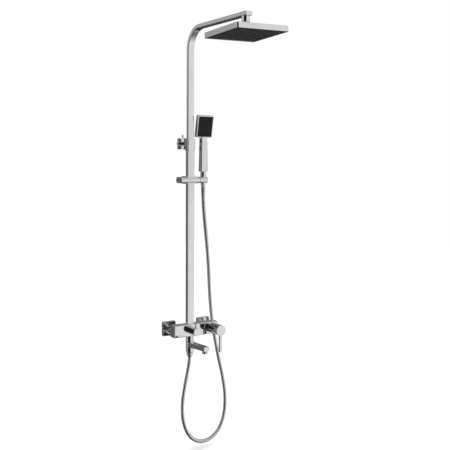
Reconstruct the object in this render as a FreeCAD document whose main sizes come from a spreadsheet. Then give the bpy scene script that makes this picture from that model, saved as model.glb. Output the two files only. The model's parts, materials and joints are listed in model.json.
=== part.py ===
import FreeCAD, Part
import math
import os
import re

import Sketcher
from FreeCAD import Placement, Rotation, Vector

# Rainfall shower column for a wall: a bath mixer with a swinging spout, a telescopic riser with a
# square rain head on a ball swivel, and a handset in a sliding holder with its hose.
# Frame: +Z up, wall at Y = 0 with the room on the -Y side, origin midway between the two inlets.
# Millimetres. The driving dimensions are in the sheet, and each sub-part is bound to it.

DIMENSIONS = {
    # where the main axes are
    "riser_mid": -15, "wall_gap": 60, "handle_mid": 75, "inlet_half": 75,
    # mixer body
    "mixer_wide": 190, "mixer_deep": 36, "mixer_tall": 46, "mixer_mid": 4, "mixer_gap": 61,
    "mixer_round": 3.5, "inlet_bore": 12.5, "valve_bore": 17.5, "valve_depth": 30,
    "diverter_bore": 11.5, "diverter_depth": 26, "outlet_bore": 9, "outlet_depth": 16,
    "gallery_bore": 3.5,
    # wall unions and covers
    "cover_side": 56, "cover_thick": 10, "cover_round": 5, "cover_skin": 1.6,
    "tail_radius": 10.4, "tail_bore": 8, "tail_bury": 16, "union_radius": 13, "nut_flats": 32,
    "nut_long": 14,
    # riser
    "tube_wide": 29, "tube_deep": 17, "tube_round": 2.5, "tube_skin": 1.2, "tube_top": 700,
    "arm_wide": 25.6, "arm_deep": 13.4, "arm_round": 2.2, "arm_skin": 1.2, "arm_level": 1111.3,
    "arm_reach": 377, "arm_foot": 480, "arm_cap": 4, "bend_radius": 76,
    "collar_wide": 33, "collar_deep": 24, "collar_tall": 46, "collar_level": 693,
    "bracket_level": 697, "stem_radius": 7.5, "flange_side": 42, "flange_thick": 8,
    "plate_thick": 2.4, "lock_reach": 4.6, "lock_grip_radius": 2.6, "lock_shank_radius": 1.8,
    "lock_grip_tall": 13,
    # rain head
    "head_side": 200, "head_thick": 18, "head_foot": 1043.5, "head_reach": 356,
    "head_round": 8, "head_rim": 5, "head_roof": 3, "jet_pitch": 17, "jet_radius": 1.7,
    "head_rise_front": 2.6, "head_rise_side": 1.4,
    "swivel_level": 1090, "ball_radius": 10, "ball_neck": 6,
    # slider and holder
    "slider_level": 563, "slider_left": -62.5, "slider_joint": 17, "slider_right": 50.5,
    "slider_deep": 44, "slider_tall": 22.6, "slider_round": 10.3, "ring_wide": 48, "ring_deep": 44,
    "ring_tall": 27.6, "handset_mid": 38, "handset_gap": 66,
    # handset
    "grip_foot": 594.5, "grip_top": 722, "grip_wide_low": 31, "grip_deep_low": 22,
    "grip_wide_high": 26.5, "grip_deep_high": 19, "grip_round": 4.5, "spray_wide": 68,
    "spray_tall": 82, "spray_thick": 15, "spray_level": 761, "spray_tilt": 10.5,
    "spray_round": 4, "spray_rim": 3.5, "neck_radius": 11,
    # hose
    "hose_radius": 7, "hose_start": 506, "hose_end": -104,
    "hose_top_gap": 0.5,
    # spout
    "hub_radius": 15.5, "spout_top": -46, "spout_tall": 21, "spout_tip_tall": 16,
    "spout_wide": 24, "spout_reach": 126, "spout_rise": 3.25,
    "aerator_radius": 11.5, "aerator_reach": 112,
    # diverter knob
    "knob_radius": 15.5, "knob_long": 39, "pin_radius": 2.75, "pin_tall": 12, "pin_reach": 26,
    # mixing handle
    "grasp_radius": 20.5, "bonnet_long": 23.5, "grasp_start": 29.3, "grasp_end": 62,
    "pivot_reach": 21, "dome_radius": 18, "lever_wide": 12, "lever_thick": 9, "lever_foot": 82,
    "lever_reach": 56.5,
}

doc = FreeCAD.newDocument("shower_column")
sheet = doc.addObject("Spreadsheet::Sheet", "Sizes")
for row, (alias, value) in enumerate(DIMENSIONS.items(), start=1):
    sheet.set(f"A{row}", alias)
    sheet.set(f"B{row}", str(value))
    sheet.setAlias(f"B{row}", alias)
doc.recompute()

GAP = 0.3  # between faces that only face each other
nodes = {}  # label of each sub-part -> its object


def size(text):
    """The text of an expression, with each alias read from the sheet."""
    def read(word):
        return f"Sizes.{word[0]}" if word[0] in DIMENSIONS else word[0]
    return re.sub(r"[a-z_]+", read, str(text))


def number(text):
    """The value of such an expression, worked out by a spare cell of the sheet itself."""
    sheet.set("D1", f"={text}")
    sheet.recompute()
    return float(sheet.D1)


def bind(item, path, value):
    """Sets a property to a number, or binds it to an expression of the sheet's aliases."""
    if isinstance(value, str):
        item.setExpression(path, size(value))
    elif path.startswith("Placement"):
        item.setExpression(path, str(value))
    else:
        setattr(item, path, value)


def place(item, at, turn=(0, 0, 0)):
    """Puts an item at a point, turned by yaw, pitch and roll in degrees."""
    item.Placement = Placement(Vector(0, 0, 0), Rotation(*turn))
    for axis, value in zip("xyz", at):
        bind(item, f"Placement.Base.{axis}", value)
    return item


def name_of(text):
    """A document name that is free, for a helper that isn't itself a sub-part."""
    return text.replace("-", "_")


ALONG = {"z": (0, 0, 0), "-z": (0, 0, 180), "-y": (0, 0, 90), "y": (0, 0, -90),
         "x": (0, 90, 0), "-x": (0, -90, 0)}


def rod(label, radius, length, at, along="z"):
    """A cylinder that starts at a point and runs along an axis, or a (yaw, pitch, roll) turn."""
    item = doc.addObject("Part::Cylinder", name_of(label))
    bind(item, "Radius", radius)
    bind(item, "Height", length)
    return place(item, at, ALONG.get(along, along))


def taper(label, radius_a, radius_b, length, at, along="z"):
    """A cone frustum that starts at a point with radius_a."""
    item = doc.addObject("Part::Cone", name_of(label))
    bind(item, "Radius1", radius_a)
    bind(item, "Radius2", radius_b)
    bind(item, "Height", length)
    return place(item, at, ALONG[along])


def ball(label, radius, at):
    item = doc.addObject("Part::Sphere", name_of(label))
    bind(item, "Radius", radius)
    return place(item, at)


def ring(label, radius, section, at, along="z"):
    """An O-ring."""
    item = doc.addObject("Part::Torus", name_of(label))
    bind(item, "Radius1", radius)
    bind(item, "Radius2", section)
    return place(item, at, ALONG[along])


def block(label, sides, middle):
    """A box about its middle."""
    item = doc.addObject("Part::Box", name_of(label))
    corner = []
    for path, side, mid in zip(("Length", "Width", "Height"), sides, middle):
        bind(item, path, side)
        corner.append(f"({mid}) - ({side}) / 2")
    return place(item, corner)


def hexagon(label, flats, length, at, along="z"):
    """A hexagon bar, by the distance across its flats."""
    item = doc.addObject("Part::Prism", name_of(label))
    item.Polygon = 6
    bind(item, "Circumradius", f"({flats}) / sqrt(3)")
    bind(item, "Height", length)
    return place(item, at, ALONG[along])


def join(label, items):
    item = doc.addObject("Part::MultiFuse", name_of(label))
    item.Shapes = items
    return item


def gather(label, items):
    """Solids that don't touch, as one object."""
    item = doc.addObject("Part::Compound", name_of(label))
    item.Links = items
    return item


def cut(label, base, *tools):
    item = doc.addObject("Part::Cut", name_of(label))
    item.Base = base
    item.Tool = tools[0] if len(tools) == 1 else join(label + "_tools", list(tools))
    return item


def soften(label, base, radius, chosen):
    """Rounds the edges that chosen(edge) picks."""
    doc.recompute()
    item = doc.addObject("Part::Fillet", name_of(label))
    item.Base = base
    picked = [i for i, edge in enumerate(base.Shape.Edges, start=1) if chosen(edge)]
    item.Edges = [(i, radius, radius) for i in picked]
    return item


def rounded_sketch(owner, label, wide, deep, corner, lift=0):
    """A rectangle with round corners about the origin of the owner's XY plane, fully bound."""
    sketch = owner.newObject("Sketcher::SketchObject", label)
    plane = [f for f in owner.Origin.OriginFeatures if f.Role == "XY_Plane"][0]
    sketch.AttachmentSupport = [(plane, "")]
    sketch.MapMode = "FlatFace"
    bind(sketch, "AttachmentOffset", Placement())
    if lift:
        sketch.setExpression("AttachmentOffset.Base.z", size(lift))
    half_w, half_d, r = number(wide) / 2, number(deep) / 2, number(corner)
    middles = [(half_w - r, half_d - r), (r - half_w, half_d - r),
               (r - half_w, r - half_d), (half_w - r, r - half_d)]
    for quarter, (x, y) in enumerate(middles):
        circle = Part.Circle(Vector(x, y, 0), Vector(0, 0, 1), r)
        start = quarter * math.pi / 2
        sketch.addGeometry(Part.ArcOfCircle(circle, start, start + math.pi / 2), False)
    for quarter in range(4):
        a = sketch.Geometry[quarter].EndPoint
        b = sketch.Geometry[(quarter + 1) % 4].StartPoint
        sketch.addGeometry(Part.LineSegment(a, b), False)
    for quarter in range(4):
        sketch.addConstraint(Sketcher.Constraint("Tangent", quarter, 2, 4 + quarter, 1))
        sketch.addConstraint(Sketcher.Constraint("Tangent", 4 + quarter, 2, (quarter + 1) % 4, 1))
    for quarter in (1, 2, 3):
        sketch.addConstraint(Sketcher.Constraint("Equal", 0, quarter))
    sketch.addConstraint(Sketcher.Constraint("Radius", 0, r))
    sketch.renameConstraint(sketch.ConstraintCount - 1, "corner")
    sketch.setExpression("Constraints.corner", size(corner))
    for quarter, (x, y) in enumerate(middles):
        for kind, reach, span in (("DistanceX", x, wide), ("DistanceY", y, deep)):
            ends = (-1, 1, quarter, 3) if reach > 0 else (quarter, 3, -1, 1)
            sketch.addConstraint(Sketcher.Constraint(kind, *ends, abs(reach)))
            name = f"{kind.lower()}_{quarter}"
            sketch.renameConstraint(sketch.ConstraintCount - 1, name)
            sketch.setExpression(f"Constraints.{name}", size(f"({span}) / 2 - ({corner})"))
    return sketch


def slab(label, wide, deep, corner, length, at, turn=(0, 0, 0), edge_round=0):
    """A body: a round-cornered rectangle padded along its own +Z, then placed and turned.
    edge_round softens both ends, or only the far one where it is a ("far", radius) pair."""
    body = doc.addObject("PartDesign::Body", name_of(label))
    sketch = rounded_sketch(body, name_of(label) + "_outline", wide, deep, corner)
    pad = body.newObject("PartDesign::Pad", name_of(label) + "_pad")
    pad.Profile = sketch
    bind(pad, "Length", length)
    doc.recompute()
    if edge_round:
        far_only = isinstance(edge_round, tuple)
        radius = edge_round[1] if far_only else edge_round
        top = number(length)
        picked = []
        for i, edge in enumerate(pad.Shape.Edges, start=1):
            levels = [v.Point.z for v in edge.Vertexes]
            at_top = all(abs(z - top) < 0.01 for z in levels)
            at_foot = all(abs(z) < 0.01 for z in levels)
            if at_top or (at_foot and not far_only):
                picked.append(f"Edge{i}")
        fillet = body.newObject("PartDesign::Fillet", name_of(label) + "_soft")
        fillet.Base = (pad, picked)
        bind(fillet, "Radius", radius)
        doc.recompute()
    return place(body, at, turn)


def pocket(body, label, wide, deep, corner, lift, depth, inward=True):
    """Cuts a round-cornered rectangle out of a slab, from the plane at lift down (or up)."""
    before = body.Shape.Volume
    sketch = rounded_sketch(body, name_of(label) + "_outline", wide, deep, corner, lift)
    cutter = body.newObject("PartDesign::Pocket", name_of(label))
    cutter.Profile = sketch
    bind(cutter, "Length", depth)
    cutter.Reversed = not inward
    doc.recompute()
    if body.Shape.Volume >= before - 1:
        raise RuntimeError(f"{label} cut nothing")
    return body


def loft(label, low, high, length, corner, at, turn=(0, 0, 0)):
    """A body that goes from one round-cornered rectangle to another, (wide, deep) each."""
    body = doc.addObject("PartDesign::Body", name_of(label))
    foot = rounded_sketch(body, name_of(label) + "_low", *low, corner)
    top = rounded_sketch(body, name_of(label) + "_high", *high, corner, length)
    shape = body.newObject("PartDesign::AdditiveLoft", name_of(label) + "_loft")
    shape.Profile = foot
    shape.Sections = [top]
    doc.recompute()
    return place(body, at, turn)


def keep(label, item):
    """Declares an object as the sub-part of this name."""
    item.Label = label
    nodes[label] = item
    return item


RX, RY = "riser_mid", "-wall_gap"
FRONT = "-mixer_gap - mixer_deep / 2"
BACK = "-mixer_gap + mixer_deep / 2"


def build_mixer_body():
    body = slab("mixer_bar", "mixer_wide", "mixer_deep", "mixer_round", "mixer_tall",
                ("mixer_mid", "-mixer_gap", "-mixer_tall / 2"), edge_round="mixer_round - 0.5")
    hot_port = "handle_mid - valve_bore + 4"
    tools = [
        rod("valve_seat", "valve_bore", "valve_depth", ("handle_mid", FRONT, 0), "y"),
        rod("diverter_seat", "diverter_bore", "diverter_depth", (RX, FRONT, 0), "y"),
        rod("riser_port", "outlet_bore", "outlet_depth", (RX, RY, "mixer_tall / 2"), "-z"),
        rod("spout_port", "outlet_bore", "outlet_depth", (RX, RY, "-mixer_tall / 2"), "z"),
        rod("left_inlet", "inlet_bore", 18, ("-inlet_half", BACK, 0), "-y"),
        rod("right_inlet", "inlet_bore", 4, ("inlet_half", BACK, 0), "-y"),
        rod("right_way", "tail_bore", "mixer_deep", ("inlet_half", BACK, 0), "-y"),
        rod("hot_gallery", "gallery_bore - 0.5", f"inlet_half + {hot_port}",
            ("-inlet_half", f"{BACK} - 4", 0), "x"),
        rod("hot_port", "gallery_bore", 12, (hot_port, f"{BACK} - 0.8", 0), "-y"),
        rod("mixed_gallery", "gallery_bore", "handle_mid - riser_mid",
            (RX, "-mixer_gap - 4", -9), "x"),
    ]
    keep("mixer_body", cut("mixer_body", body, *tools))


def build_wall_unions():
    for side, x in (("left", "-inlet_half"), ("right", "inlet_half")):
        thread = rod(f"thread_{side}", "tail_radius", "tail_bury - 0.5", (x, "tail_bury", 0), "-y")
        tail = rod(f"tail_{side}", "tail_radius - 0.6", 36, (x, 1, 0), "-y")
        collar = rod(f"union_{side}", "union_radius", 8, (x, "-cover_thick - 9", 0), "-y")
        bore = rod(f"union_way_{side}", "tail_bore", 90, (x, "tail_bury + 5", 0), "-y")
        keep(f"inlet_union_{side}",
             cut(f"inlet_union_{side}", join(f"union_solid_{side}", [thread, tail, collar]), bore))
        nut = hexagon(f"nut_{side}", "nut_flats", "nut_long", (x, f"{BACK} + nut_long + {GAP}", 0),
                      "-y")
        way = rod(f"nut_way_{side}", "union_radius + 0.2", "nut_long + 2",
                  (x, f"{BACK} + nut_long + 1", 0), "-y")
        keep(f"union_nut_{side}", cut(f"union_nut_{side}", nut, way))
        cover = slab(f"cover_{side}", "cover_side", "cover_side", "cover_round", "cover_thick",
                     (x, 0, 0), ALONG["-y"], edge_round=("far", 1.5))
        pocket(cover, f"cover_hollow_{side}", "cover_side - 2 * cover_skin",
               "cover_side - 2 * cover_skin", "cover_round - cover_skin", 0,
               "cover_thick - cover_skin", inward=False)
        hole = rod(f"cover_hole_{side}", "tail_radius + 0.2", 20, (x, 2, 0), "-y")
        keep(f"escutcheon_{side}", cut(f"escutcheon_{side}", cover, hole))
    seals = []
    for x in ("-inlet_half", "inlet_half"):
        disc = rod("washer_disc", "inlet_bore - 0.3", 2, (x, f"{BACK} - 1.5", 0), "-y")
        hole = rod("washer_hole", 6, 6, (x, f"{BACK}", 0), "-y")
        seals.append(cut("filter_washer", disc, hole))
    keep("union_washers", gather("union_washers", seals))


def build_riser():
    tube = slab("riser_bar", "tube_wide", "tube_deep", "tube_round",
                f"tube_top - mixer_tall / 2 - {GAP}", (RX, RY, f"mixer_tall / 2 + {GAP}"))
    pocket(tube, "riser_way", "tube_wide - 2 * tube_skin", "tube_deep - 2 * tube_skin",
           "tube_round - tube_skin", 0, "tube_top", inward=False)
    keep("riser_lower_tube", tube)

    plug = slab("socket_plug", "tube_wide - 2 * tube_skin - 0.1", "tube_deep - 2 * tube_skin - 0.1",
                "tube_round - tube_skin", 24, (RX, RY, f"mixer_tall / 2 + {GAP}"))
    thread = rod("socket_thread", "outlet_bore - 0.2", f"11 + {GAP}",
                 (RX, RY, "mixer_tall / 2 - 11"))
    way = rod("socket_way", 5, 60, (RX, RY, 0))
    keep("riser_socket", cut("riser_socket", join("socket_solid", [plug, thread]), way))

    inner = ("tube_wide - 2 * tube_skin - 0.16", "tube_deep - 2 * tube_skin - 0.16")
    guide = slab("guide_bar", *inner, "tube_round - tube_skin", 18,
                 (RX, RY, f"arm_foot - 18 - {GAP}"))
    pocket(guide, "guide_way", "arm_wide - 2 * arm_skin - 1", "arm_deep - 2 * arm_skin - 1", 0.8,
           0, 30, inward=False)
    keep("slide_guide", guide)


def riser_line():
    """The line that the upper tube follows: up, round the bend and out over the head."""
    body = doc.addObject("PartDesign::Body", "riser_line")
    path = body.newObject("Sketcher::SketchObject", "riser_path")
    plane = [f for f in body.Origin.OriginFeatures if f.Role == "YZ_Plane"][0]
    path.AttachmentSupport = [(plane, "")]
    path.MapMode = "FlatFace"
    rise, bend = number("arm_level - arm_foot"), number("bend_radius")
    reach = number("arm_reach - arm_cap")
    arc = Part.Circle(Vector(-bend, rise - bend, 0), Vector(0, 0, 1), bend)
    path.addGeometry(Part.LineSegment(Vector(0, 0, 0), Vector(0, rise - bend, 0)), False)
    path.addGeometry(Part.ArcOfCircle(arc, 0, math.pi / 2), False)
    path.addGeometry(Part.LineSegment(Vector(-bend, rise, 0), Vector(-reach, rise, 0)), False)
    for rule in (("Coincident", 0, 1, -1, 1), ("Vertical", 0), ("Tangent", 0, 2, 1, 1),
                 ("Tangent", 1, 2, 2, 1), ("Horizontal", 2)):
        path.addConstraint(Sketcher.Constraint(*rule))
    for kind, ends, value, name, words in (
            ("Radius", (1,), bend, "bend", "bend_radius"),
            ("DistanceY", (-1, 1, 2, 2), rise, "rise", "arm_level - arm_foot"),
            ("DistanceX", (2, 2, -1, 1), reach, "reach", "arm_reach - arm_cap")):
        path.addConstraint(Sketcher.Constraint(kind, *ends, value))
        path.renameConstraint(path.ConstraintCount - 1, name)
        path.setExpression(f"Constraints.{name}", size(words))
    return body, path


def build_upper_tube():
    body, path = riser_line()
    outer = rounded_sketch(body, "arm_section", "arm_wide", "arm_deep", "arm_round")
    sweep = body.newObject("PartDesign::AdditivePipe", "arm_pipe")
    sweep.Profile = outer
    sweep.Spine = (path, ["Edge1", "Edge2", "Edge3"])
    doc.recompute()
    inner = rounded_sketch(body, "arm_hollow_section", "arm_wide - 2 * arm_skin",
                           "arm_deep - 2 * arm_skin", "arm_round - arm_skin")
    hollow = body.newObject("PartDesign::SubtractivePipe", "arm_hollow")
    hollow.Profile = inner
    hollow.Spine = (path, ["Edge1", "Edge2", "Edge3"])
    doc.recompute()
    place(body, (RX, RY, "arm_foot"))
    port = rod("swivel_port", 6.2, 30, (RX, "-wall_gap - head_reach", "swivel_level"))
    keep("riser_upper_tube", cut("riser_upper_tube", body, port))
    tip = slab("tip_bar", "arm_wide", "arm_deep", "arm_round", "arm_cap",
               (RX, f"-wall_gap - arm_reach + arm_cap - {GAP}", "arm_level"), ALONG["-y"],
               edge_round=("far", 0.8))
    keep("arm_end_cap", tip)


def build_wall_bracket():
    collar = slab("collar_bar", "collar_wide", "collar_deep", 4, "collar_tall",
                  (RX, RY, "collar_level - collar_tall / 2"), edge_round=1)
    root = taper("collar_root", 13, "stem_radius", 12, (RX, f"{RY} + collar_deep / 2 - 1",
                 "bracket_level"), "y")
    way = block("collar_way", ("tube_wide + 0.2", "tube_deep + 0.2", 80),
                (RX, RY, "collar_level"))
    screw_way = rod("collar_screw_way", 2.2, 20, (RX, RY, "tube_top + 8"), "x")
    stem_way = rod("collar_stem_way", 4.1, 14, (RX, f"{RY} + tube_deep / 2 + 1.5",
                   "bracket_level"), "y")
    keep("bracket_collar", cut("bracket_collar", join("collar_solid", [collar, root]), way,
                               screw_way, stem_way))

    bush = block("bush_bar", ("tube_wide", "tube_deep", "collar_tall / 2 + 8"),
                 (RX, RY, f"tube_top + {GAP} + (collar_tall / 2 + 8) / 2"))
    limit = block("bush_limit", (60, 60, 40), (RX, RY, "collar_level + collar_tall / 2 + 20.4"))
    bush_way = slab("bush_way", "arm_wide + 0.1", "arm_deep + 0.1", "arm_round", 60,
                    (RX, RY, "tube_top - 10"))
    bush_screw = rod("bush_screw_way", 2.2, 20, (RX, RY, "tube_top + 8"), "x")
    keep("collar_bush", cut("collar_bush", bush, limit, bush_way, bush_screw))
    keep("collar_screw", rod("collar_screw", 2, 3.6, (f"{RX} + arm_wide / 2 + 0.15", RY,
                             "tube_top + 8"), "x"))

    start = f"{RY} + collar_deep / 2 + 11"
    post = rod("post", "stem_radius", f"-({start}) - plate_thick - 2 * {GAP}",
               (RX, f"{start} + {GAP}", "bracket_level"), "y")
    spigot = rod("post_spigot", 4, 10, (RX, f"{start} - 9", "bracket_level"), "y")
    thread = rod("post_thread", 4, 4, (RX, -4.5, "bracket_level"), "y")
    keep("bracket_stem", join("bracket_stem", [post, spigot, thread]))

    plate = rod("plate_disc", 17, "plate_thick", (RX, 0, "bracket_level"), "-y")
    holes = [rod("plate_thread", 4.1, 10, (RX, 2, "bracket_level"), "-y")]
    screws = []
    for step in (-11, 11):
        at = (f"{RX} + {step}", -1.2, "bracket_level")
        holes.append(rod("plate_hole", 2.2, 10, (f"{RX} + {step}", 2, "bracket_level"), "-y"))
        holes.append(taper("plate_sink", 2.2, 3.6, 1.41, at, "-y"))
        shank = rod("screw_shank", 2, 23, (f"{RX} + {step}", 22, "bracket_level"), "-y")
        head = taper("screw_head", 2, 3.3, 1.3, (f"{RX} + {step}", -1, "bracket_level"), "-y")
        screws.append(join("wall_screw", [shank, head]))
    keep("wall_plate", cut("wall_plate", plate, *holes))
    keep("wall_screws", gather("wall_screws", screws))

    cover = slab("flange_bar", "flange_side", "flange_side", 3, "flange_thick",
                 (RX, 0, "bracket_level"), ALONG["-y"], edge_round=("far", 1))
    pocket(cover, "flange_hollow", "flange_side - 3.2", "flange_side - 3.2", 1.5, 0,
           "flange_thick - 1.6", inward=False)
    stem_hole = rod("flange_hole", "stem_radius + 0.1", 20, (RX, 4, "bracket_level"), "-y")
    lock_hole = rod("flange_lock_hole", "lock_shank_radius + 0.1", 20,
                    (RX, "-lock_reach", "bracket_level + stem_radius"))
    keep("bracket_cover", cut("bracket_cover", cover, stem_hole, lock_hole))
    grip = rod("lock_grip", "lock_grip_radius", "lock_grip_tall",
               (RX, "-lock_reach", f"bracket_level + flange_side / 2 + {GAP}"))
    shank = rod("lock_shank", "lock_shank_radius", "flange_side / 2 - stem_radius",
                (RX, "-lock_reach", f"bracket_level + stem_radius + {GAP}"))
    keep("cover_lock_screw", join("cover_lock_screw", [grip, shank]))


HEAD_Y = "-wall_gap - head_reach"
JETS_ACROSS = 10


def build_swivel():
    top = "arm_level - arm_deep / 2"
    nut = rod("swivel_shell", 13.5, f"{top} - {GAP} - swivel_level + 5",
              (RX, HEAD_Y, "swivel_level - 5"))
    inside = rod("swivel_room", 11.7, 30, (RX, HEAD_Y, "swivel_level - 2"))
    mouth = rod("swivel_mouth", 9.2, 12, (RX, HEAD_Y, "swivel_level - 8"))
    roof = rod("swivel_roof", 13.5, 3.4, (RX, HEAD_Y, f"{top} - {GAP} - 3.4"))
    stub = rod("swivel_stub", 6, 11, (RX, HEAD_Y, f"{top} - 2"))
    way = rod("swivel_way", 4, 40, (RX, HEAD_Y, "swivel_level"))
    floor = ball("swivel_floor", "ball_radius + 0.1", (RX, HEAD_Y, "swivel_level"))
    shell = cut("swivel_cup", nut, inside, mouth, floor)
    keep("swivel_nut", cut("swivel_nut", join("swivel_solid", [shell, roof, stub]), way))

    seat = rod("seat_ring", 11.6, "arm_level - arm_deep / 2 - 3.4 - 0.6 - swivel_level + 1.9",
               (RX, HEAD_Y, "swivel_level - 1.9"))
    socket = ball("seat_socket", "ball_radius + 0.05", (RX, HEAD_Y, "swivel_level"))
    seat_way = rod("seat_way", 7, 40, (RX, HEAD_Y, "swivel_level - 10"))
    keep("swivel_seat", cut("swivel_seat", seat, socket, seat_way))

    sphere = ball("head_ball", "ball_radius", (RX, HEAD_Y, "swivel_level"))
    foot = "(head_foot + head_thick)"
    neck = rod("ball_stalk", "ball_neck", f"swivel_level - {foot} + 2",
               (RX, HEAD_Y, f"{foot} - 2"))
    shoulder = taper("ball_shoulder", 13, 9, 6, (RX, HEAD_Y, f"{foot} + {GAP}"))
    ball_way = rod("ball_way", 3, 60, (RX, HEAD_Y, f"{foot} - 10"))
    stalk = cut("ball_level", join("ball_solid", [sphere, neck, shoulder]), ball_way)
    keep("swivel_ball", tilted("swivel_ball", stalk))


def studs(label, top_radius, tip_radius, depth, columns, rows, pitch, top=0):
    """A grid of cones about the origin, each from z = top down by depth."""
    made = []
    for i in range(columns):
        for j in range(rows):
            x = (i - (columns - 1) / 2) * pitch
            y = (j - (rows - 1) / 2) * pitch
            made.append(taper(label, top_radius, tip_radius, depth, (x, y, top), "-z"))
    return made


def tilted(label, item):
    """A piece of the rain head, turned about the ball as the head hangs."""
    group = gather(label, [item])
    middle = Vector(number(RX), number(HEAD_Y), number("swivel_level"))
    turn = Rotation(0, -number("head_rise_side"), -number("head_rise_front"))
    group.Placement = Placement(Vector(), turn, middle)
    return group


def build_rain_head():
    shell = slab("head_bar", "head_side", "head_side", "head_round", "head_thick",
                 (RX, HEAD_Y, "head_foot"), edge_round=("far", 1.5))
    hollow = "head_side - 2 * head_rim"
    pocket(shell, "head_hollow", hollow, hollow, 4, 0, "head_thick - head_roof", inward=False)
    inlet = rod("head_inlet", "ball_neck + 0.1", 20, (RX, HEAD_Y, "head_foot + 10"))
    keep("rain_head_shell", tilted("rain_head_shell", cut("head_shell_level", shell, inlet)))

    face_thick, face_sunk, mat_thick = 4, 0.8, 1.6
    pitch, grid = number("jet_pitch"), (JETS_ACROSS, JETS_ACROSS)
    face = slab("face_bar", f"{hollow} - 0.4", f"{hollow} - 0.4", 3.8, face_thick,
                (0, 0, face_sunk))
    hole = "jet_radius + 0.2"
    holes = studs("face_hole", hole, hole, 30, *grid, pitch, top=15)
    plate = place(cut("face_plate", face, gather("face_holes", holes)), (RX, HEAD_Y, "head_foot"))
    keep("rain_head_face", tilted("rain_head_face", plate))

    mat = block("mat_sheet", (f"{hollow} - 6", f"{hollow} - 6", mat_thick), (0, 0, mat_thick / 2))
    tips = studs("mat_stud", "jet_radius", "jet_radius - 0.5", 5.6, *grid, pitch)
    mat = place(join("mat_and_studs", [mat] + tips),
                (RX, HEAD_Y, f"head_foot + {face_sunk + face_thick + GAP}"))
    keep("rain_head_jets", tilted("rain_head_jets", mat))


HOLD_Y = "-handset_gap"


def build_slider():
    middle = "(slider_left + slider_joint) / 2"
    pill = slab("pill_bar", "slider_tall", "slider_deep", "slider_round",
                "slider_joint - slider_left", ("slider_left", RY, "slider_level"), ALONG["x"],
                edge_round=1.2)
    ring_y = f"{RY} + 4"
    room = block("pill_room", ("ring_wide + 0.2", "ring_deep + 0.2", 60),
                 (RX, ring_y, "slider_level"))
    axle_way = rod("pill_axle_way", 4.05, 30, ("slider_joint - 6.5", RY, "slider_level"), "x")
    button_way = block("pill_button_way", (9, 26.6, 12.6), ("slider_left + 4", RY, "slider_level"))
    keep("slider_body", cut("slider_body", pill, room, axle_way, button_way))

    collar = slab("ring_bar", "ring_wide", "ring_deep", 5, "ring_tall",
                  (RX, ring_y, "slider_level - ring_tall / 2"), edge_round=1)
    bore = block("ring_bore", ("tube_wide + 6", "tube_deep + 6", 60), (RX, RY, "slider_level"))
    keep("slider_collar", cut("slider_collar", collar, bore))
    liner = block("liner_bar", ("tube_wide + 5.9", "tube_deep + 5.9", "ring_tall"),
                  (RX, RY, "slider_level"))
    liner_way = slab("liner_way", "tube_wide + 0.1", "tube_deep + 0.1", "tube_round", 60,
                     (RX, RY, "slider_level - 30"))
    keep("slider_bush", cut("slider_bush", liner, liner_way))

    button = slab("button_bar", 12, 26, 4, 7, ("slider_left + 5", RY, "slider_level"),
                  ALONG["-x"], edge_round=("far", 1))
    keep("release_button", button)


def build_holder():
    knuckle = slab("knuckle_bar", "slider_tall", "slider_deep", "slider_round",
                   f"slider_right - slider_joint - {GAP}",
                   (f"slider_joint + {GAP}", RY, "slider_level"), ALONG["x"], edge_round=1.2)
    seat = rod("knuckle_seat", "neck_radius + 0.9", 60, ("handset_mid", HOLD_Y, "slider_level - 30"))
    slot = block("knuckle_slot", (15, 30, 60), ("handset_mid", f"{HOLD_Y} + 19", "slider_level"))
    axle_way = rod("knuckle_axle_way", 4, 7.3, ("slider_joint - 1", RY, "slider_level"), "x")
    keep("holder_knuckle", cut("holder_knuckle", knuckle, seat, slot, axle_way))
    keep("holder_axle", rod("holder_axle", 4, 12.8, ("slider_joint - 6.5", RY, "slider_level"),
                            "x"))
    lining = rod("cup_bar", "neck_radius + 0.8", "slider_tall - 1",
                 ("handset_mid", HOLD_Y, "slider_level - slider_tall / 2 + 0.5"))
    cup_way = rod("cup_way", "neck_radius", 60, ("handset_mid", HOLD_Y, "slider_level - 30"))
    cup_slot = block("cup_slot", (15, 30, 60), ("handset_mid", f"{HOLD_Y} + 19", "slider_level"))
    keep("holder_cup", cut("holder_cup", lining, cup_way, cup_slot))


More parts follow.
